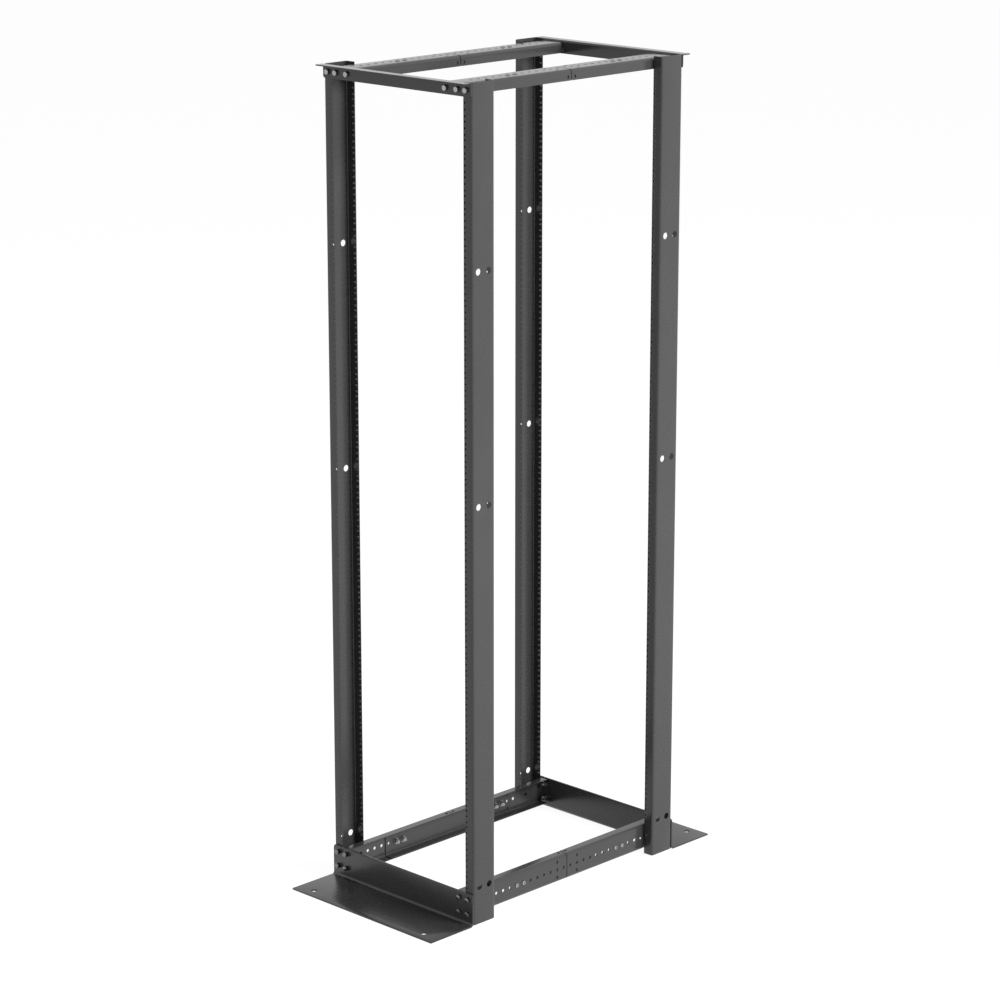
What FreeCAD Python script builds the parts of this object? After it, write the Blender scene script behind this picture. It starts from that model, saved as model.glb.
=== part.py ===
import FreeCAD, Part
import math
import os

# A four post open frame equipment rack of 45 rack units, made of bent and drilled steel.
# Millimetres.  +Z is up, -Y is the front and +X is the right hand side.
# The origin is on the floor, in the middle of the footprint.

# Frame
frame_height = 2133.6      # floor to the top of the posts
frame_width = 514.35       # over the webs of a left and a right post
frame_depth = 751.0        # front face of the front posts to back face of the rear posts

# Posts: channels with the web outside and the flanges turned to the middle of the rack
post_web = 76.2
post_flange = 29.3
post_wall = 2.0
post_bend = 1.5            # inside radius of a bend
post_foot_gap = 3.3        # the posts hang on the base angles, clear of the floor

# Rack units: three panel holes a unit
unit = 44.45
unit_hole_heights = (6.35, 22.225, 38.1)
first_unit_height = 90.4   # floor to the bottom of the first unit
panel_hole = 5.5
panel_hole_edge = 4.675    # panel hole to the free edge of its flange

# Joining holes: pairs in each post's web, for a neighbouring rack or a cable bracket
joining_hole = 17.0
joining_hole_spacing = 35.0
joining_mount_height = 1094.0
joining_hole_heights = (102.0, joining_mount_height, 1678.0)

# Base angles: a floor plate and an upright leg bolted to the outer faces of the posts
base_wall = 4.5
base_bend = 4.0
base_leg = 86.5
base_reach = 151.5         # post face to the free edge of the floor plate
base_corner = 8.0
anchor_hole = 16.0
anchor_spacing = 408.0
anchor_edge = 27.0         # anchor hole to the free edge

# Top angles: a leg like that of the base, with its flat side level with the tops of the posts
top_wall = 3.0
top_bend = 2.0
top_leg = 34.5
top_reach = 28.0
top_corner = 6.0

# Side rails: two channels end to end and a splice channel nested in them
rail_web = 70.0
rail_flange = 28.0
rail_wall = 1.5
rail_bend = 1.5
rail_side_gap = 1.5        # between a rail's web and the free edges of the post flanges
rail_floor_gap = 15.0
top_rail_drop = 4.8        # the top rails lie this far below the tops of the posts
rail_seam = 2.0            # between the two channels, at mid depth
rail_hole = 8.5
rail_hole_pitch = 25.0
rail_hole_count = 12       # in each channel
rail_cross_offset = 21.0   # the second hole from the seam has one above and one below it
rail_cross_place = 2
tab_relief = 1.2           # cut between the end tab's bend and the flanges

splice_length = 475.0
splice_shift = 12.5        # towards the rear, so that its holes meet those of the channels
splice_flange = 24.0
splice_wall = 1.5
splice_gap = 0.8           # between the splice and the channels, all round
splice_front_holes = 3
splice_rear_holes = 6

# Bolts
bolt_hole = 9.0
bolt_spacing = 39.0        # the two bolts of an end tab, and of a post's foot

# Holes
round_hole = 0
coarse_sides = 6           # repeated holes are cut with few sides and the area of the round one
fine_sides = 8
drill_room = 1.0           # a drill stands this far out of the wall at both ends

origin = FreeCAD.Vector(0, 0, 0)
along_x = FreeCAD.Vector(1, 0, 0)
along_y = FreeCAD.Vector(0, 1, 0)
along_z = FreeCAD.Vector(0, 0, 1)

half_width = frame_width / 2
half_depth = frame_depth / 2
rail_face = half_width - post_flange - rail_side_gap
rail_length = half_depth - rail_seam / 2
post_bolt_x = half_width - post_flange / 2
panel_hole_x = half_width - post_flange + panel_hole_edge
rack_units = int((frame_height - first_unit_height) / unit)
drilled_units = (1, rack_units)
foot_bolt_heights = [rail_floor_gap + rail_web / 2 + side * bolt_spacing / 2 for side in (-1, 1)]
top_bolt_height = frame_height - top_rail_drop - rail_flange / 2


def rounded_face(corners, place):
    """A flat face from (across, up, radius) corners; place puts a corner in space."""
    points = [place(across, up) for across, up, radius in corners]
    starts, ends, middles = [], [], []
    for index, point in enumerate(points):
        radius = corners[index][2]
        back = (points[index - 1] - point).normalize()
        ahead = (points[(index + 1) % len(points)] - point).normalize()
        half_angle = back.getAngle(ahead) / 2
        reach = radius / math.tan(half_angle)
        middle = (back + ahead).normalize()
        starts.append(point + back * reach)
        ends.append(point + ahead * reach)
        middles.append(point + middle * (radius / math.sin(half_angle) - radius))
    edges = []
    for index, corner in enumerate(corners):
        if corner[2] > 0:
            edges.append(Part.Arc(starts[index], middles[index], ends[index]).toShape())
        following = starts[(index + 1) % len(corners)]
        if (following - ends[index]).Length > 1e-6:
            edges.append(Part.LineSegment(ends[index], following).toShape())
    return Part.Face(Part.Wire(edges))


def channel_profile(web, flange, wall, bend):
    """Web along the second axis with its outer side at 0, flanges along the first."""
    return [
        (flange, 0, 0), (0, 0, bend + wall), (0, web, bend + wall), (flange, web, 0),
        (flange, web - wall, 0), (wall, web - wall, bend), (wall, wall, bend), (flange, wall, 0),
    ]


def angle_profile(reach, leg, wall, bend):
    """Flat side along the first axis, leg along the second, outer corner at 0, 0."""
    return [
        (0, 0, bend + wall), (reach, 0, 0), (reach, wall, 0), (wall, wall, bend), (wall, leg, 0), (0, leg, 0),
    ]


def hole(diameter, centre, axis, depth, sides=round_hole):
    """A drill through a wall: it starts at centre and goes depth along axis, with room at both ends."""
    start = centre - axis * drill_room
    if sides == round_hole:
        return Part.makeCylinder(diameter / 2, depth + 2 * drill_room, start, axis)
    turn = 2 * math.pi / sides
    radius = diameter / 2 * math.sqrt(turn / math.sin(turn))
    across = axis.cross(along_x if abs(axis.z) > 0.5 else along_z)
    upward = across.cross(axis)
    corners = []
    for index in range(sides + 1):
        angle = turn * (index + 0.5)
        corners.append(start + across * (radius * math.cos(angle)) + upward * (radius * math.sin(angle)))
    return Part.Face(Part.makePolygon(corners)).extrude(axis * (depth + 2 * drill_room))


def drilled(solid, drills):
    return solid.cut(Part.makeCompound(drills))


def to_left(shape):
    return shape.mirror(origin, along_x)


def to_rear(shape):
    return shape.mirror(origin, along_y)


def make_post(panel_sides, joining_sides):
    """The front right post; the sides are those of the panel holes and of the middle joining holes."""
    face = rounded_face(
        channel_profile(post_web, post_flange, post_wall, post_bend),
        lambda across, up: FreeCAD.Vector(half_width - across, up - half_depth, post_foot_gap),
    )
    post = face.extrude(along_z * (frame_height - post_foot_gap))
    drills = []
    for height in joining_hole_heights:
        sides = joining_sides if height == joining_mount_height else fine_sides
        for side in (-1, 1):
            y = -half_depth + post_web / 2 + side * joining_hole_spacing / 2
            drills.append(hole(joining_hole, FreeCAD.Vector(half_width, y, height), -along_x, post_wall, sides))
    for number in drilled_units:
        for rise, sides in zip(unit_hole_heights, (panel_sides, coarse_sides, panel_sides)):
            height = first_unit_height + (number - 1) * unit + rise
            centre = FreeCAD.Vector(panel_hole_x, -half_depth, height)
            drills.append(hole(panel_hole, centre, along_y, post_wall, sides))
    for height in foot_bolt_heights + [top_bolt_height]:
        centre = FreeCAD.Vector(post_bolt_x, -half_depth, height)
        drills.append(hole(bolt_hole, centre, along_y, post_wall, coarse_sides))
    return drilled(post, drills)


def bolt_places(rail_bolts, heights):
    """Bolt centres in the leg of an angle: at the posts and at the rails' end tabs."""
    places = []
    for height in heights:
        for x in [post_bolt_x] + rail_bolts:
            places += [(x, height), (-x, height)]
    return places


def make_base_angle():
    """The front base angle."""
    face = rounded_face(
        angle_profile(base_reach, base_leg, base_wall, base_bend),
        lambda across, up: FreeCAD.Vector(-half_width, -half_depth - across, up),
    )
    angle = face.extrude(along_x * frame_width)
    leg_outline = rounded_face(
        [(-half_width, 0, 0), (half_width, 0, 0), (half_width, base_leg, base_corner),
         (-half_width, base_leg, base_corner)],
        lambda across, up: FreeCAD.Vector(across, -half_depth - base_reach, up),
    )
    angle = angle.common(leg_outline.extrude(along_y * base_reach))
    tab_bolt_x = rail_face - rail_flange / 2
    drills = []
    for x, height in bolt_places([tab_bolt_x], foot_bolt_heights):
        centre = FreeCAD.Vector(x, -half_depth - base_wall, height)
        drills.append(hole(bolt_hole, centre, along_y, base_wall, coarse_sides))
    for side in (-1, 1):
        centre = FreeCAD.Vector(side * anchor_spacing / 2, anchor_edge - base_reach - half_depth, 0)
        drills.append(hole(anchor_hole, centre, along_z, base_wall))
    return drilled(angle, drills)


def make_top_angle():
    """The front top angle."""
    face = rounded_face(
        angle_profile(top_reach, top_leg, top_wall, top_bend),
        lambda across, up: FreeCAD.Vector(-half_width, -half_depth - across, frame_height - up),
    )
    angle = face.extrude(along_x * frame_width)
    leg_outline = rounded_face(
        [(-half_width, frame_height, 0), (half_width, frame_height, 0),
         (half_width, frame_height - top_leg, top_corner), (-half_width, frame_height - top_leg, top_corner)],
        lambda across, up: FreeCAD.Vector(across, -half_depth - top_reach, up),
    )
    angle = angle.common(leg_outline.extrude(along_y * top_reach))
    tab_bolts = [rail_face - rail_web / 2 + side * bolt_spacing / 2 for side in (-1, 1)]
    drills = []
    for x, height in bolt_places(tab_bolts, [top_bolt_height]):
        centre = FreeCAD.Vector(x, -half_depth - top_wall, height)
        drills.append(hole(bolt_hole, centre, along_y, top_wall, coarse_sides))
    return drilled(angle, drills)


def make_rail_channel():
    """A front channel: its web's outer side is on X = 0, and it runs along +Y from the angle's leg."""
    setback = rail_wall + rail_bend + tab_relief
    face = rounded_face(
        channel_profile(rail_web, rail_flange, rail_wall, rail_bend),
        lambda across, up: FreeCAD.Vector(-across, setback, up),
    )
    channel = face.extrude(along_y * (rail_length - setback))
    tab_edge = rail_wall + rail_bend + tab_relief
    tab = rounded_face(
        [(0, 0, rail_wall + rail_bend), (rail_flange, 0, 0), (rail_flange, rail_wall, 0),
         (rail_wall, rail_wall, rail_bend), (rail_wall, setback, 0), (0, setback, 0)],
        lambda across, up: FreeCAD.Vector(-across, up, tab_edge),
    )
    channel = channel.fuse(tab.extrude(along_z * (rail_web - 2 * tab_edge))).removeSplitter()
    row = rail_web / 2
    drills = []
    for place in range(rail_hole_count + 1):
        y = half_depth - (place + 0.5) * rail_hole_pitch
        drills.append(hole(rail_hole, FreeCAD.Vector(0, y, row), -along_x, rail_wall, coarse_sides))
    cross_y = half_depth - (rail_cross_place - 0.5) * rail_hole_pitch
    for side in (-1, 1):
        centre = FreeCAD.Vector(0, cross_y, row + side * rail_cross_offset)
        drills.append(hole(rail_hole, centre, -along_x, rail_wall, coarse_sides))
        centre = FreeCAD.Vector(-rail_flange / 2, 0, row + side * bolt_spacing / 2)
        drills.append(hole(bolt_hole, centre, along_y, rail_wall, coarse_sides))
    seam_y = half_depth - rail_hole_pitch / 2
    for z in (0, rail_web - rail_wall):
        centre = FreeCAD.Vector(-rail_flange / 2, seam_y, z)
        drills.append(hole(rail_hole, centre, along_z, rail_wall, coarse_sides))
    return drilled(channel, drills)


def make_splice():
    """The splice channel, in the place that make_rail_channel gives its channels."""
    inset = rail_wall + splice_gap
    splice_web = rail_web - 2 * inset
    start = half_depth + splice_shift - splice_length / 2
    face = rounded_face(
        channel_profile(splice_web, splice_flange, splice_wall, rail_bend),
        lambda across, up: FreeCAD.Vector(-inset - across, start, inset + up),
    )
    splice = face.extrude(along_y * splice_length)
    row = rail_web / 2
    end = start + splice_length
    row_places = [start + (place + 0.5) * rail_hole_pitch for place in range(splice_front_holes)]
    row_places += [end - (place + 0.5) * rail_hole_pitch for place in range(splice_rear_holes)]
    places = [(y, row) for y in row_places]
    places += [(end - rail_hole_pitch / 2, row + side * rail_cross_offset) for side in (-1, 1)]
    drills = []
    for y, z in places:
        drills.append(hole(rail_hole, FreeCAD.Vector(-inset, y, z), -along_x, splice_wall, coarse_sides))
    return drilled(splice, drills)


def at_bottom_right(shape):
    moved = shape.copy()
    moved.translate(FreeCAD.Vector(rail_face, -half_depth, rail_floor_gap))
    return moved


def at_top_right(shape):
    """The web turned up, so that the rail's outer flange is where a bottom rail's web is."""
    moved = shape.copy()
    moved.rotate(origin, along_y, -90)
    moved.translate(FreeCAD.Vector(rail_face, -half_depth, frame_height - top_rail_drop))
    return moved


def build():
    nodes = {}
    front_post = make_post(round_hole, round_hole)
    rear_post = to_rear(make_post(coarse_sides, fine_sides))
    nodes["post_front_right"] = front_post
    nodes["post_front_left"] = to_left(front_post)
    nodes["post_rear_right"] = rear_post
    nodes["post_rear_left"] = to_left(rear_post)
    base_angle = make_base_angle()
    nodes["base_angle_front"] = base_angle
    nodes["base_angle_rear"] = to_rear(base_angle)
    top_angle = make_top_angle()
    nodes["top_angle_front"] = top_angle
    nodes["top_angle_rear"] = to_rear(top_angle)
    channel = make_rail_channel()
    splice = make_splice()
    for level, placed in (("bottom", at_bottom_right), ("top", at_top_right)):
        front = placed(channel)
        nested = placed(splice)
        nodes[level + "_rail_right_front"] = front
        nodes[level + "_rail_right_rear"] = to_rear(front)
        nodes[level + "_rail_right_splice"] = nested
        nodes[level + "_rail_left_front"] = to_left(front)
        nodes[level + "_rail_left_rear"] = to_left(to_rear(front))
        nodes[level + "_rail_left_splice"] = to_left(nested)
    return nodes


os.makedirs("parts", exist_ok=True)
for name, shape in build().items():
    solid = shape.Solids[0]
    solid.exportStep("parts/" + name + ".step")
    print(name, len(shape.Solids), round(solid.Volume / 1000, 1), solid.isValid())
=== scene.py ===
import math

import bpy
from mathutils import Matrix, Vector


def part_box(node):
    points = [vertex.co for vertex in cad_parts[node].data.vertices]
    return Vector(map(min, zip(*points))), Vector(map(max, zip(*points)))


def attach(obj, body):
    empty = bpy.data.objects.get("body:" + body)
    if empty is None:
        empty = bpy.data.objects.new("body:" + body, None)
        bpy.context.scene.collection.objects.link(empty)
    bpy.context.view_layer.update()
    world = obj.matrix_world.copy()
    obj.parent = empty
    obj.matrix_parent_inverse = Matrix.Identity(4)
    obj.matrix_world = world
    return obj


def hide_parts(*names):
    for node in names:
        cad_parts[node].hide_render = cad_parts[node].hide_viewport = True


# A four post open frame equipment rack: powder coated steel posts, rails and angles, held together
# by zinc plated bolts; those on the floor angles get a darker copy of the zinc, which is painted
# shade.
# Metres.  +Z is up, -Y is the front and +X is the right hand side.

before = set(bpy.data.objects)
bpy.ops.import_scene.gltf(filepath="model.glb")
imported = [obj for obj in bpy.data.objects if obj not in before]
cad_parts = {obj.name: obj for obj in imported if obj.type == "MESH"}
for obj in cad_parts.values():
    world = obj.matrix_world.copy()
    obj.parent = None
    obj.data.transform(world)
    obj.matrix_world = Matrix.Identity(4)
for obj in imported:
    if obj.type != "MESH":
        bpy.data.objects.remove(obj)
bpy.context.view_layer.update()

X, Y, Z = range(3)
ALONG = (Vector((1, 0, 0)), Vector((0, 1, 0)), Vector((0, 0, 1)))
INWARDS = Vector((-1, 0, 0))            # channels on the right hand side open towards the middle
HALF_TURN = math.pi
QUARTER = math.pi / 2
NEAR = 1e-5                             # places closer than this are one place
ALIGNED = 0.99                          # how closely a normal or an edge follows an axis, up to 1
ROOM = 0.003                            # drills start and end this far outside the steel
EDGE = 0.0003                           # sheet edges are broken by this much
SHARP = math.radians(60)                # edges that turn more than this are broken
SHEET_SMOOTH = math.radians(32)         # faces that turn less than this shade as one
BOLT_SMOOTH = math.radians(40)


# ---------------------------------------------------------------- selecting and shaping

def select_only(*things):
    if bpy.context.mode != "OBJECT":
        bpy.ops.object.mode_set(mode="OBJECT")
    bpy.ops.object.select_all(action="DESELECT")
    for thing in things:
        thing.select_set(True)
    bpy.context.view_layer.objects.active = things[0]


def named(thing, name):
    thing.name = name
    thing.data.name = name
    return thing


def block(name, low, high):
    """A box between two corners, to be shaped further."""
    bpy.ops.object.select_all(action="DESELECT")
    low, high = Vector(low), Vector(high)
    bpy.ops.mesh.primitive_cube_add(size=1, location=(low + high) / 2, scale=high - low)
    bpy.ops.object.transform_apply(location=True, rotation=True, scale=True)
    return named(bpy.context.object, name)


def disc(name, radius, depth, base, axis, sides):
    """A cylinder that stands on base and rises by depth along an axis."""
    bpy.ops.object.select_all(action="DESELECT")
    turn = ((0, QUARTER, 0), (-QUARTER, 0, 0), (0, 0, 0))[axis]
    middle = Vector(base) + ALONG[axis] * (depth / 2)
    bpy.ops.mesh.primitive_cylinder_add(
        vertices=sides, radius=radius, depth=depth, location=middle, rotation=turn)
    bpy.ops.object.transform_apply(location=True, rotation=True, scale=True)
    return named(bpy.context.object, name)


def pick(piece, kind, wanted):
    """Leaves the piece in edit mode with the wanted faces, edges or corners selected."""
    select_only(piece)
    bpy.ops.object.mode_set(mode="EDIT")
    bpy.ops.mesh.select_mode(type=kind)
    bpy.ops.mesh.select_all(action="DESELECT")
    bpy.ops.object.mode_set(mode="OBJECT")
    mesh = piece.data
    if kind == "FACE":
        for face in mesh.polygons:
            face.select = wanted(face.center, face.normal)
    elif kind == "VERT":
        for vertex in mesh.vertices:
            vertex.select = wanted(vertex.co)
    else:
        for edge in mesh.edges:
            first, second = (mesh.vertices[index].co for index in edge.vertices)
            edge.select = wanted(first, second)
    bpy.ops.object.mode_set(mode="EDIT")


def done():
    bpy.ops.object.mode_set(mode="OBJECT")


def rounded(piece, kind, wanted, size, steps, affect="EDGES"):
    """Rounds or chamfers what is picked."""
    pick(piece, kind, wanted)
    bpy.ops.mesh.bevel(offset=size, segments=steps, affect=affect)
    done()


def opened(piece, wanted):
    """Takes the wanted faces away."""
    pick(piece, "FACE", wanted)
    bpy.ops.mesh.delete(type="FACE")
    done()


def is_end(centre, normal):
    """An end face of a cylinder along Y."""
    return abs(normal.y) > ALIGNED


def modify(piece, kind, **settings):
    select_only(piece)
    modifier = piece.modifiers.new(kind.title(), kind)
    for key, value in settings.items():
        setattr(modifier, key, value)
    bpy.ops.object.modifier_apply(modifier=modifier.name)


def thickened(piece, wall):
    """Gives an open skin its wall, inwards."""
    modify(piece, "SOLIDIFY", thickness=wall, offset=-1, use_even_offset=True)


def edges_broken(piece, steps):
    modify(piece, "BEVEL", width=EDGE, segments=steps, limit_method="ANGLE", angle_limit=SHARP)


def repeated(piece, count, step):
    modify(piece, "ARRAY", count=count, use_relative_offset=False, use_constant_offset=True,
           constant_offset_displace=step)


def joined(name, *things):
    select_only(*things)
    bpy.ops.object.join()
    return named(bpy.context.object, name)


def drill(piece, radius, base, axis, depth, sides, count=1, step=(0, 0, 0)):
    """Cuts a hole that starts at base and goes depth along an axis, and its repeats."""
    drills = disc("drill", radius, depth, base, axis, sides)
    if count > 1:
        repeated(drills, count, step)
    modify(piece, "BOOLEAN", object=drills, operation="DIFFERENCE", solver="EXACT")
    bpy.data.objects.remove(drills, do_unlink=True)


def flipped(piece, name, axis):
    """A mirrored copy at the other end of an axis."""
    select_only(piece)
    bpy.ops.object.duplicate(linked=False)
    copy = named(bpy.context.object, name)
    mirror = [1, 1, 1]
    mirror[axis] = -1
    bpy.ops.object.mode_set(mode="EDIT")
    bpy.ops.mesh.select_all(action="SELECT")
    bpy.ops.transform.resize(value=mirror, center_override=(0, 0, 0))
    bpy.ops.mesh.normals_make_consistent(inside=False)
    done()
    return copy


def turned(piece, name, turn, about, place):
    """A copy turned about a point, which then moves to place."""
    select_only(piece)
    bpy.ops.object.duplicate(linked=False)
    copy = named(bpy.context.object, name)
    copy.rotation_euler = turn
    copy.location = Vector(place) - copy.rotation_euler.to_matrix() @ Vector(about)
    bpy.ops.object.transform_apply(location=True, rotation=True, scale=True)
    return copy


def folded(name, low, high, long_axis, wall, bend):
    """Sheet steel folded to a channel: a box, rounded along its back, opened and given a wall."""
    piece = block(name, low, high)

    def on_back_corner(first, second):
        runs_along = abs((second - first).normalized()[long_axis]) > ALIGNED
        return runs_along and min(first.x, second.x) > high[X] - NEAR

    def is_open(centre, normal):
        return normal.dot(INWARDS) > ALIGNED or abs(normal[long_axis]) > ALIGNED

    rounded(piece, "EDGE", on_back_corner, wall + bend, CHANNEL_STEPS)
    opened(piece, is_open)
    thickened(piece, wall)
    edges_broken(piece, 1)
    return piece


def smoothed(piece, angle=SHEET_SMOOTH):
    select_only(piece)
    bpy.ops.object.shade_smooth_by_angle(angle=angle)
    return piece


# ---------------------------------------------------------------- surfaces

class Wire:
    """One output of a node, with the arithmetic that the finishes need."""

    def __init__(self, tree, socket=None):
        self.tree = tree
        self.socket = socket

    def node(self, kind, output=0, settings=None, **inputs):
        """Adds a node: its settings first, then the values or links of its sockets."""
        made = self.tree.nodes.new(kind)
        for key, value in (settings or {}).items():
            setattr(made, key, value)
        for key, value in inputs.items():
            is_numbered = key[0] == "n" and key[1:].isdigit()
            socket = made.inputs[int(key[1:]) if is_numbered else key.replace("_", " ")]
            if isinstance(value, Wire):
                self.tree.links.new(value.socket, socket)
            else:
                socket.default_value = value
        return Wire(self.tree, made.outputs[output] if len(made.outputs) else None)

    def maths(self, operation, first, second):
        return self.node("ShaderNodeMath", settings={"operation": operation}, n0=first, n1=second)

    def __add__(self, other):
        return self.maths("ADD", self, other)

    def __radd__(self, other):
        return self.maths("ADD", other, self)

    def __sub__(self, other):
        return self.maths("SUBTRACT", self, other)

    def __rsub__(self, other):
        return self.maths("SUBTRACT", other, self)

    def __mul__(self, other):
        return self.maths("MULTIPLY", self, other)

    def __rmul__(self, other):
        return self.maths("MULTIPLY", other, self)

    def ramp(self, low, high):
        """0 below low, 1 above high."""
        return self.node("ShaderNodeMapRange", Value=self, From_Min=low, From_Max=high)

    def noise(self, scale, detail, rough):
        return self.node("ShaderNodeTexNoise", Vector=self, Scale=scale, Detail=detail,
                         Roughness=rough)

    def mixed(self, first, second):
        """first where this is 0, second where it is 1."""
        return self.node("ShaderNodeMix", output=2, settings={"data_type": "RGBA"},
                         n0=self, n6=first, n7=second)


def new_tree(owner):
    """Empties the nodes of a material or world and gives the place to start from."""
    owner.use_nodes = True
    owner.node_tree.nodes.clear()
    return Wire(owner.node_tree)


def is_ray(tree, *kinds):
    """1 for rays of these kinds, 0 for the others."""
    tests = [tree.node("ShaderNodeLightPath", output="Is " + kind + " Ray") for kind in kinds]
    return sum(tests[1:], tests[0])


def grey(value):
    """A grey that is very slightly cool."""
    return (value, value * 1.005, value * 1.01, 1.0)


# Noise: how many waves to a metre, its detail and its roughness.
PEBBLES = (1400.0, 3.0, 0.6)
FILM = (260.0, 3.0, 0.55)
CLOUD = (7.0, 4.0, 0.6)
HAZE = (320.0, 4.0, 0.6)
SCRATCHES = (2200.0, 2.0, 0.5)
MIDDLE = 0.5                            # noise goes to both sides of this

# Powder coat.
CLOUD_SPAN = (0.3, 0.7)                 # cloud noise, from the darker to the paler tint
DARKER = 0.94                           # of the coat's tone, as in the next two
PALER = 1.06
# Painted highlight: the pebbles' tops are paler, as if they caught the light.
PEBBLE_HIGHLIGHT_TONE = 1.5
PEBBLE_HIGHLIGHT_SPAN = (0.62, 0.8)                  # pebble noise, where the painted highlight on the pebbles' tops begins and is full
PEBBLE_HIGHLIGHT_SHARE = 0.4                         # how much the painted highlight on the tops shows
FILM_GLOSS = 0.08                       # how far the film and the cloud vary the roughness
CLOUD_GLOSS = 0.06
PEBBLE_HEIGHT = 0.5                     # shares of the coat's relief
FILM_HEIGHT = 0.12
COAT_BUMP = 0.1
COAT_RELIEF = 0.0002
COAT_IOR = 1.5

# Plate on bolts and nuts.
HAZE_SPAN = (0.35, 0.7)
PLATE_ROUGHNESS = 0.19
HAZE_GLOSS = 0.2
PLATE_BUMP = 0.2
SCRATCH_DEPTH = 0.00008


def powder_coat(name, tone, rough):
    """Fine textured black powder coat: a pebbled film, a little uneven in tone and in gloss, with
    a painted highlight on the pebbles' tops.
    """
    material = bpy.data.materials.new(name)
    tree = new_tree(material)
    place = tree.node("ShaderNodeTexCoord", output="Object")
    pebbles, film, cloud = place.noise(*PEBBLES), place.noise(*FILM), place.noise(*CLOUD)
    tint = cloud.ramp(*CLOUD_SPAN).mixed(grey(tone * DARKER), grey(tone * PALER))
    # painted highlight: the pebbles' tops are paler
    pebble_highlights = pebbles.ramp(*PEBBLE_HIGHLIGHT_SPAN)
    base = (pebble_highlights * PEBBLE_HIGHLIGHT_SHARE).mixed(tint, grey(tone * PEBBLE_HIGHLIGHT_TONE))
    roughness = (film - MIDDLE) * FILM_GLOSS + (cloud - MIDDLE) * CLOUD_GLOSS + rough
    height = pebbles * PEBBLE_HEIGHT + film * FILM_HEIGHT
    bump = tree.node("ShaderNodeBump", Strength=COAT_BUMP, Distance=COAT_RELIEF, Height=height)
    coat = tree.node("ShaderNodeBsdfPrincipled", Base_Color=base, Roughness=roughness, Normal=bump,
                     IOR=COAT_IOR, Specular_IOR_Level=0.5)
    tree.node("ShaderNodeOutputMaterial", Surface=coat)
    return material


def plated(name, dull, bright):
    """Zinc plate on bolts and nuts, with the haze that it gets from handling; darker colours make
    a copy with painted shade.
    """
    material = bpy.data.materials.new(name)
    tree = new_tree(material)
    place = tree.node("ShaderNodeTexCoord", output="Object")
    haze, scratches = place.noise(*HAZE), place.noise(*SCRATCHES)
    base = haze.ramp(*HAZE_SPAN).mixed(grey(dull), grey(bright))
    roughness = (haze - MIDDLE) * HAZE_GLOSS + PLATE_ROUGHNESS
    bump = tree.node("ShaderNodeBump", Strength=PLATE_BUMP, Distance=SCRATCH_DEPTH,
                     Height=scratches)
    plate = tree.node("ShaderNodeBsdfPrincipled", Base_Color=base, Roughness=roughness,
                      Normal=bump, Metallic=1.0)
    tree.node("ShaderNodeOutputMaterial", Surface=plate)
    return material


post_coat = powder_coat("post_powder_coat", tone=0.055, rough=0.27)
rail_coat = powder_coat("rail_powder_coat", tone=0.055, rough=0.2)
# Painted shade: the floor angles get a darker copy of the powder coat.
shaded_base_coat = powder_coat("base_powder_coat_painted_shade", tone=0.036, rough=0.27)
top_coat = powder_coat("top_angle_powder_coat", tone=0.05, rough=0.15)
splice_coat = powder_coat("splice_powder_coat", tone=0.05, rough=0.3)
zinc = plated("zinc_plated_steel", dull=0.3, bright=0.42)
# Painted shade: a darker copy of the zinc, for the bolts on the floor angles.
shaded_zinc = plated("zinc_painted_shade", dull=0.15, bright=0.21)


def finish_piece(piece, material, slot, *nodes):
    """Gives a piece its coat, and its place in the frame."""
    piece.data.materials.clear()
    piece.data.materials.append(material)
    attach(piece, "root")
    if nodes:
        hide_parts(*nodes)


# ---------------------------------------------------------------- sizes

post_low, post_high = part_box("post_front_right")
rail_low, rail_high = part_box("bottom_rail_right_front")
top_rail_low, top_rail_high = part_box("top_rail_right_front")
splice_low, splice_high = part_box("bottom_rail_right_splice")
base_low, base_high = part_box("base_angle_front")

# Walls, the insides of their bends and the smoothness of these.  Holes and round parts are
# given by their radius.
POST_WALL = 0.002
POST_BEND = 0.0033
RAIL_WALL = 0.0015                      # the splices have it too
RAIL_BEND = 0.0065
SPLICE_BEND = 0.0042
CHANNEL_STEPS = 6
TAB_BEND = 0.0015
TAB_RELIEF = 0.0012                     # cut between the end tab's bend and the flanges
TAB_STEPS = 5
BASE_WALL = 0.0045
BASE_BEND = 0.0065
BASE_STEPS = 7
BASE_CORNER = 0.008                     # round corners of the standing leg
CORNER_STEPS = 6
TOP_WALL = 0.003

ANCHOR_HOLE = 0.008
ANCHOR_SIDES = 40
ANCHOR_SPACING = 0.408
ANCHOR_EDGE = 0.027                     # from the floor plate's edge

UNIT = 0.04445
UNIT_HOLES = (0.00635, 0.022225, 0.0381)
FIRST_UNIT = 0.0904                     # bottom of the lowest unit above the floor
UNITS = 45
PANEL_HOLE = 0.00275
PANEL_HOLE_EDGE = 0.004675              # from the flange's free edge
PANEL_HOLE_SIDES = 10
COLLAR_WALL = 0.0009
COLLAR_DEPTH = 0.0033
JOINING_HOLE = 0.0085
JOINING_SIDES = 32
JOINING_HEIGHTS = (0.102, 1.094, 1.678)
JOINING_SPACING = 0.035

RAIL_HOLE = 0.00425
RAIL_HOLE_SIDES = 20
HOLE_PITCH = 0.025
RAIL_HOLES = 13
SPLICE_FRONT_HOLES = 3
SPLICE_REAR_HOLES = 6
CROSS_OFFSET = 0.021                    # holes above and below the row
FLANGE_HOLE = 0.0185                    # from the web's outer face

front = post_low.y
post_middle = (post_low.y + post_high.y) / 2
rail_face = rail_high.x
rail_row = (rail_low.z + rail_high.z) / 2
top_row = (top_rail_low.x + top_rail_high.x) / 2


# ---------------------------------------------------------------- posts

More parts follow.
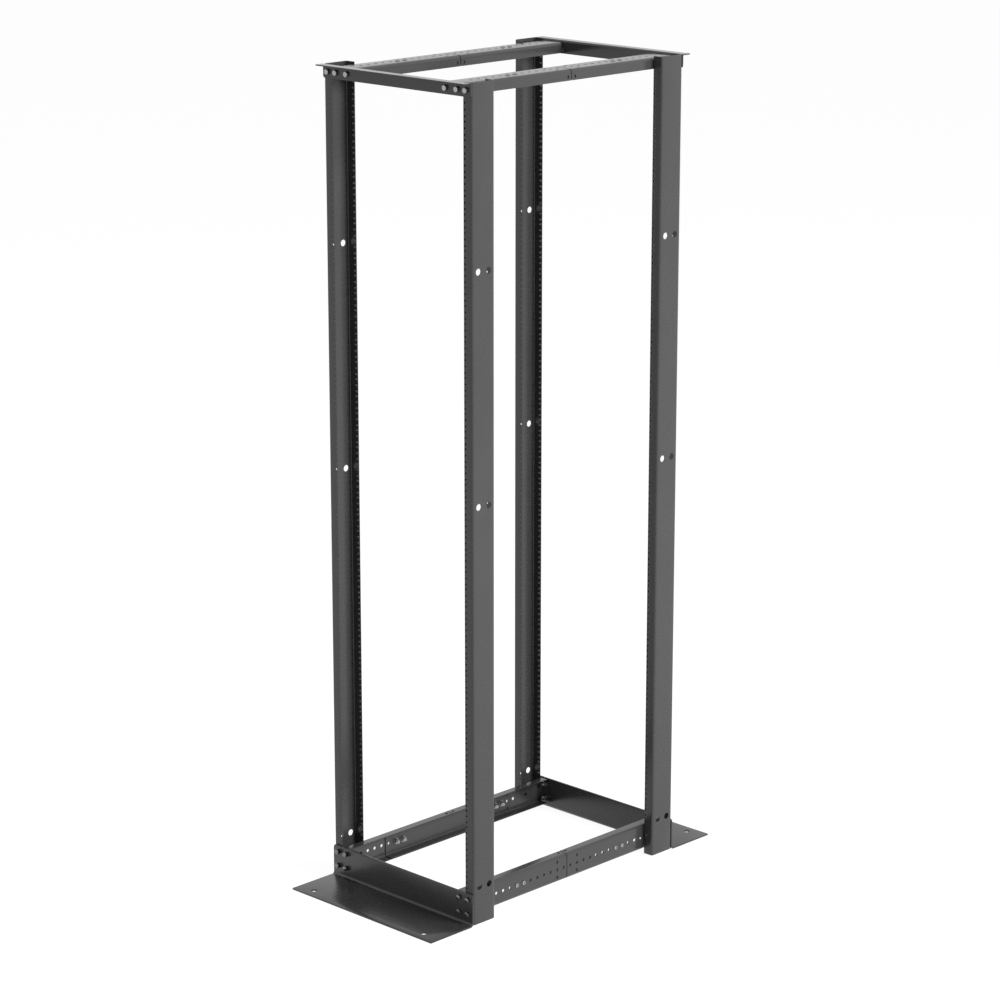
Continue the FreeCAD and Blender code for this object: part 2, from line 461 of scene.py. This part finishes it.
def make_collars(x, base):
    """The short collars that tapped panel holes have behind their flange, one above another."""
    columns = []
    for rise in UNIT_HOLES:
        place = (x, base, FIRST_UNIT + rise)
        ring = disc("collars", PANEL_HOLE + COLLAR_WALL, COLLAR_DEPTH, place, Y, PANEL_HOLE_SIDES)
        opened(ring, is_end)
        thickened(ring, COLLAR_WALL)
        repeated(ring, UNITS, (0, 0, UNIT))
        columns.append(ring)
    return joined("collars", *columns)


def make_post():
    """The front right post: tapped panel holes in its front flange and plain ones in the other."""
    post = folded("post", post_low, post_high, Z, POST_WALL, POST_BEND)
    panel_x = post_low.x + PANEL_HOLE_EDGE
    depth = post_high.y - post_low.y
    for rise in UNIT_HOLES:
        start = (panel_x, front - ROOM, FIRST_UNIT + rise)
        drill(post, PANEL_HOLE, start, Y, depth + 2 * ROOM, PANEL_HOLE_SIDES, UNITS, (0, 0, UNIT))
    for height in JOINING_HEIGHTS:
        start = (post_high.x - POST_WALL - ROOM, post_middle - JOINING_SPACING / 2, height)
        drill(post, JOINING_HOLE, start, X, POST_WALL + 2 * ROOM, JOINING_SIDES,
              2, (0, JOINING_SPACING, 0))
    collars = make_collars(panel_x, front + POST_WALL)
    return smoothed(joined("post_fr", post, collars))


front_place, rear_place = Vector((0, post_middle, 0)), Vector((0, -post_middle, 0))
as_it_is, half_round = (0, 0, 0), (0, 0, HALF_TURN)
post_fr = make_post()
post_fl = turned(post_fr, "post_fl", half_round, front_place, front_place)
post_rr = turned(post_fr, "post_rr", as_it_is, front_place, rear_place)
post_rl = turned(post_fr, "post_rl", half_round, front_place, rear_place)
for piece, node in ((post_fr, "post_front_right"), (post_fl, "post_front_left"),
                    (post_rr, "post_rear_right"), (post_rl, "post_rear_left")):
    finish_piece(piece, post_coat, "post_steel", node)


# ---------------------------------------------------------------- side rails

def make_tab(low, high):
    """The end tab of a rail, which is bolted to an angle: it turns in from the web."""
    tab = block("tab", low, high)

    def on_outer_corner(first, second):
        is_upright = abs((second - first).normalized().z) > ALIGNED
        return is_upright and first.x > high.x - NEAR and first.y < low.y + NEAR

    def is_open(centre, normal):
        return normal.x < -ALIGNED or normal.y > ALIGNED or abs(normal.z) > ALIGNED

    rounded(tab, "EDGE", on_outer_corner, RAIL_WALL + TAB_BEND, TAB_STEPS)
    opened(tab, is_open)
    thickened(tab, RAIL_WALL)
    return tab


def web_holes(piece, face_x, y, z, count, step):
    """Holes through the web of a rail or splice whose outer face is at face_x."""
    start = (face_x - RAIL_WALL - ROOM, y, z)
    drill(piece, RAIL_HOLE, start, X, RAIL_WALL + 2 * ROOM, RAIL_HOLE_SIDES, count, step)


def make_rail():
    """The front half of the right bottom rail, with its end tab."""
    low, high = rail_low, rail_high
    tab_back = low.y + RAIL_WALL + TAB_BEND + TAB_RELIEF
    rail = folded("rail", (low.x, tab_back, low.z), high, Y, RAIL_WALL, RAIL_BEND)
    tab_inset = Vector((0, 0, RAIL_WALL + RAIL_BEND))
    tab = make_tab(low + tab_inset, Vector((high.x, tab_back, high.z)) - tab_inset)
    rail = joined("bottom_rail_rf", rail, tab)
    last = -HOLE_PITCH / 2
    along, across = (0, HOLE_PITCH, 0), (0, 0, 2 * CROSS_OFFSET)
    web_holes(rail, high.x, last - (RAIL_HOLES - 1) * HOLE_PITCH, rail_row, RAIL_HOLES, along)
    web_holes(rail, high.x, last - HOLE_PITCH, rail_row - CROSS_OFFSET, 2, across)
    start = (high.x - FLANGE_HOLE, last, low.z - ROOM)
    drill(rail, RAIL_HOLE, start, Z, high.z - low.z + 2 * ROOM, RAIL_HOLE_SIDES)
    return smoothed(rail)


def make_splice():
    """The right bottom splice, which is nested in both halves of its rail."""
    low, high = splice_low, splice_high
    splice = folded("bottom_splice_r", low, high, Y, RAIL_WALL, SPLICE_BEND)
    first, last = low.y + HOLE_PITCH / 2, high.y - HOLE_PITCH / 2
    along, across = (0, HOLE_PITCH, 0), (0, 0, 2 * CROSS_OFFSET)
    rear_first = last - (SPLICE_REAR_HOLES - 1) * HOLE_PITCH
    web_holes(splice, high.x, first, rail_row, SPLICE_FRONT_HOLES, along)
    web_holes(splice, high.x, rear_first, rail_row, SPLICE_REAR_HOLES, along)
    web_holes(splice, high.x, last, rail_row - CROSS_OFFSET, 2, across)
    return smoothed(splice)


# The top rails are the bottom ones, turned so that their webs are on top.
bottom_corner = Vector((rail_face, 0, rail_low.z))
top_corner = Vector((rail_face, 0, top_rail_high.z))
web_up = (0, -QUARTER, 0)
rail_rf = make_rail()
splice_r = make_splice()
top_rail_rf = turned(rail_rf, "top_rail_rf", web_up, bottom_corner, top_corner)
top_splice_r = turned(splice_r, "top_splice_r", web_up, bottom_corner, top_corner)
for level, half, nested in (("bottom", rail_rf, splice_r), ("top", top_rail_rf, top_splice_r)):
    rear = flipped(half, level + "_rail_rr", Y)
    left = flipped(half, level + "_rail_lf", X)
    left_rear = flipped(rear, level + "_rail_lr", X)
    left_nested = flipped(nested, level + "_splice_l", X)
    for piece, word in ((half, "right_front"), (rear, "right_rear"),
                        (left, "left_front"), (left_rear, "left_rear")):
        finish_piece(piece, rail_coat, "rail_steel", level + "_rail_" + word)
    finish_piece(nested, splice_coat, "splice_steel", level + "_rail_right_splice")
    finish_piece(left_nested, splice_coat, "splice_steel", level + "_rail_left_splice")


# ---------------------------------------------------------------- angles

def make_base_angle():
    """The front base angle: a floor plate and a leg that stands against the posts."""
    low, high = base_low, base_high
    angle = block("base_angle_f", low, high)

    def on_fold(first, second):
        return max(first.z, second.z) < low.z + NEAR and min(first.y, second.y) > high.y - NEAR

    def is_open(centre, normal):
        return normal.z > ALIGNED or normal.y < -ALIGNED or abs(normal.x) > ALIGNED

    rounded(angle, "EDGE", on_fold, BASE_WALL + BASE_BEND, BASE_STEPS)
    opened(angle, is_open)
    rounded(angle, "VERT", lambda corner: corner.z > high.z - NEAR, BASE_CORNER, CORNER_STEPS,
            affect="VERTICES")
    thickened(angle, BASE_WALL)
    edges_broken(angle, 2)
    first = (-ANCHOR_SPACING / 2, low.y + ANCHOR_EDGE, low.z - ROOM)
    drill(angle, ANCHOR_HOLE, first, Z, BASE_WALL + 2 * ROOM, ANCHOR_SIDES,
          2, (ANCHOR_SPACING, 0, 0))
    return smoothed(angle)


base_angle_f = make_base_angle()
finish_piece(base_angle_f, shaded_base_coat, "base_steel", "base_angle_front")
finish_piece(flipped(base_angle_f, "base_angle_r", Y), shaded_base_coat, "base_steel", "base_angle_rear")

for node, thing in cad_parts.items():
    if node.startswith("top_angle"):
        for place in thing.material_slots:
            place.material = top_coat


# ---------------------------------------------------------------- bolts

THREAD = 0.004
THREAD_SIDES = 16
THREAD_ROOT = 0.85                      # of the thread's radius
THREAD_PITCH = 0.00125
THREAD_TURNS = 4                        # past the nut
WASHER = (0.0085, 0.0016)               # radius and height, down to the rings of the dome
NUT = (0.0075, 0.0066)
HEX_HEAD = (0.0074, 0.0066)
DOMED_HEAD = (0.0062, 0.0008)
DOME_RINGS = ((0.0059, 0.0012), (0.0052, 0.001), (0.0042, 0.0007), (0.0031, 0.0003))
SOCKET = (0.0024, 0.0016)               # radius and depth
WASHER_SIDES = 24
HEAD_SIDES = 28
HEXAGON = 6
HEAD_CHAMFER = 0.0006
NUT_CHAMFER = 0.0009
CHAMFER_STEPS = 2
BOLT_GAP = 0.0195                       # from the middle of a pair to each bolt
BOLT_PLAY = 0.002                       # the bolts sit this much nearer the middle of the rack
SPLICE_BOLTS = (-0.1875, -0.1625, 0.1875, 0.2125)


def drawn_out(step, grow):
    """Draws the selected end face out along Y by step, then scales it."""
    bpy.ops.mesh.extrude_region_move(TRANSFORM_OT_translate={"value": (0, step, 0)})
    bpy.ops.transform.resize(value=(grow, 1, grow), center_override=(0, 0, 0))


def make_hexagon(name, size, start, chamfer):
    """A six sided nut or head along Y, with its end edges broken."""
    radius, height = size
    hexagon = disc(name, radius, height, (0, start, 0), Y, HEXAGON)
    rounded(hexagon, "FACE", is_end, chamfer, CHAMFER_STEPS)
    return hexagon


def make_washer(start):
    radius, height = WASHER
    washer = disc("washer", radius, height, (0, start, 0), Y, WASHER_SIDES)
    rounded(washer, "FACE", is_end, EDGE, 1)
    return washer


def make_hex_head():
    """A six sided head in front of Y = 0."""
    return make_hexagon("head", HEX_HEAD, -HEX_HEAD[1], HEAD_CHAMFER)


def make_domed_head():
    """A low round head in front of Y = 0, with a six sided socket."""
    radius, height = DOMED_HEAD
    top = -height
    head = disc("head", radius, height, (0, top, 0), Y, HEAD_SIDES)
    pick(head, "FACE", lambda centre, normal: normal.y < -ALIGNED)
    for ring, rise in DOME_RINGS:
        drawn_out(-rise, ring / radius)
        radius = ring
        top -= rise
    done()
    socket_radius, socket_depth = SOCKET
    drill(head, socket_radius, (0, top - ROOM, 0), Y, socket_depth + ROOM, HEXAGON)
    return head


def make_bolt(name, grip, head):
    """A bolt along Y through sheets from Y = 0 to grip: the nut and thread are behind them."""
    nut_start = grip + WASHER[1]
    washer = make_washer(grip)
    nut = make_hexagon("nut", NUT, nut_start, NUT_CHAMFER)
    shank = disc("shank", THREAD, nut_start + NUT[1], (0, 0, 0), Y, THREAD_SIDES)
    pick(shank, "FACE", lambda centre, normal: normal.y > ALIGNED)
    for turn in range(THREAD_TURNS):
        drawn_out(THREAD_PITCH / 2, THREAD_ROOT)
        if turn < THREAD_TURNS - 1:
            drawn_out(THREAD_PITCH / 2, 1 / THREAD_ROOT)
    done()
    return smoothed(joined(name, shank, head, washer, nut), BOLT_SMOOTH)


def bolt_row(name, model, turn, places):
    """Copies of a model bolt, turned and put in their places, joined to one piece."""
    return joined(name, *[turned(model, "bolt", turn, (0, 0, 0), place) for place in places])


post_bolt_x = (post_low.x + post_high.x) / 2 - BOLT_PLAY
tab_bolt_x = (rail_low.x + rail_high.x) / 2 - BOLT_PLAY
top_bolt_z = (top_rail_low.z + top_rail_high.z) / 2
splice_grip = rail_face - splice_high.x + RAIL_WALL
base_model = make_bolt("base_bolt", BASE_WALL + POST_WALL, make_hex_head())
top_model = make_bolt("top_bolt", TOP_WALL + POST_WALL, make_hex_head())
splice_model = make_bolt("splice_bolt", splice_grip, make_domed_head())

base_places = [(x, front - BASE_WALL, rail_row + side * BOLT_GAP)
               for x in (post_bolt_x, tab_bolt_x) for side in (-1, 1)]
top_places = [(x, front - TOP_WALL, top_bolt_z)
              for x in (post_bolt_x, top_row - BOLT_GAP, top_row + BOLT_GAP)]
for word, model, places, metal, slot in (
        # painted shade: the floor angles' bolts take the darker copy of the zinc
        ("base_bolts", base_model, base_places, shaded_zinc, "base_steel"),
        ("top_bolts", top_model, top_places, zinc, "top_angle_steel")):
    right = bolt_row(word + "_fr", model, as_it_is, places)
    left = flipped(right, word + "_fl", X)
    rear, left_rear = flipped(right, word + "_rr", Y), flipped(left, word + "_rl", Y)
    for piece in (right, left, rear, left_rear):
        finish_piece(piece, metal, slot)

head_right, head_up = (0, 0, QUARTER), (-QUARTER, 0, 0)
bottom_places = [(rail_face, y, rail_row) for y in SPLICE_BOLTS]
upper_places = [(top_row, y, top_rail_high.z) for y in SPLICE_BOLTS]
for word, turn, places in (("bottom_splice_bolts", head_right, bottom_places),
                           ("top_splice_bolts", head_up, upper_places)):
    right = bolt_row(word + "_r", splice_model, turn, places)
    for piece in (right, flipped(right, word + "_l", X)):
        finish_piece(piece, zinc, "splice_steel")
for model in (base_model, top_model, splice_model):
    bpy.data.objects.remove(model, do_unlink=True)


# ---------------------------------------------------------------- floor, light and camera

WHITE = (1, 1, 1, 1)
FLOOR_SIZE = 160
FLOOR_DROP = 0.0005                     # the floor is this much under the feet
SKY_LIGHT = 0.2                         # what the sky gives the steel as light
SKY_SEEN = 1.0                          # what shows of it to the camera and in reflections


def studio_white(name, lit, seen):
    """A plain floor: white to the camera and in reflections, apart from the shadow on it."""
    material = bpy.data.materials.new(name)
    tree = new_tree(material)
    matt = tree.node("ShaderNodeBsdfDiffuse", Color=(lit, lit, lit, 1))
    glow = tree.node("ShaderNodeEmission", Strength=seen)
    both = tree.node("ShaderNodeAddShader", n0=matt, n1=glow)
    direct = is_ray(tree, "Camera", "Glossy", "Transmission")
    choice = tree.node("ShaderNodeMixShader", n0=direct, n1=matt, n2=both)
    tree.node("ShaderNodeOutputMaterial", Surface=choice)
    return material


bpy.ops.object.select_all(action="DESELECT")
bpy.ops.mesh.primitive_plane_add(size=FLOOR_SIZE, location=(0, 0, -FLOOR_DROP))
floor = named(bpy.context.object, "floor")
floor.data.materials.append(studio_white("floor_white", lit=0.3, seen=0.92))

world = bpy.data.worlds.new("studio")
bpy.context.scene.world = world
sky = new_tree(world)
sky_light = sky.node("ShaderNodeBackground", Color=WHITE, Strength=SKY_LIGHT)
sky_seen = sky.node("ShaderNodeBackground", Color=WHITE, Strength=SKY_SEEN)
sky_choice = sky.node("ShaderNodeMixShader", n0=is_ray(sky, "Camera", "Glossy"),
                      n1=sky_light, n2=sky_seen)
sky.node("ShaderNodeOutputWorld", Surface=sky_choice)


def softbox(name, place, target, size, power):
    """A square lamp that faces its target and doesn't show as a glint."""
    lamp = bpy.data.lights.new(name, "AREA")
    lamp.shape = "SQUARE"
    lamp.size = size
    lamp.energy = power
    holder = bpy.data.objects.new(name, lamp)
    bpy.context.scene.collection.objects.link(holder)
    holder.location = place
    towards = Vector(target) - Vector(place)
    holder.rotation_euler = towards.to_track_quat("-Z", "Y").to_euler()
    holder.visible_glossy = False


softbox("key_softbox", place=(5.6, 1.4, 3.6), target=(0, 0, 2.0), size=2.6, power=440)
softbox("front_softbox", place=(-1.0, -6.0, 3.6), target=(0, 0, 1.6), size=3.0, power=42)

CAMERA_PLACE = (5.6009, -5.7371, 3.1524)
CAMERA_DOWN = 15.0503                   # degrees below level
CAMERA_ROUND = 44.4034                  # degrees to the right of the front
CAMERA_LENS = 115.835
CAMERA_SENSOR = 36
CAMERA_REACH = 200

camera = bpy.data.cameras.new("camera")
camera.lens = CAMERA_LENS
camera.sensor_width = CAMERA_SENSOR
camera.clip_end = CAMERA_REACH
viewer = bpy.data.objects.new("camera", camera)
bpy.context.scene.collection.objects.link(viewer)
viewer.location = CAMERA_PLACE
viewer.rotation_euler = (math.radians(90 - CAMERA_DOWN), 0, math.radians(CAMERA_ROUND))
bpy.context.scene.camera = viewer
bpy.context.scene.view_settings.view_transform = "Standard"
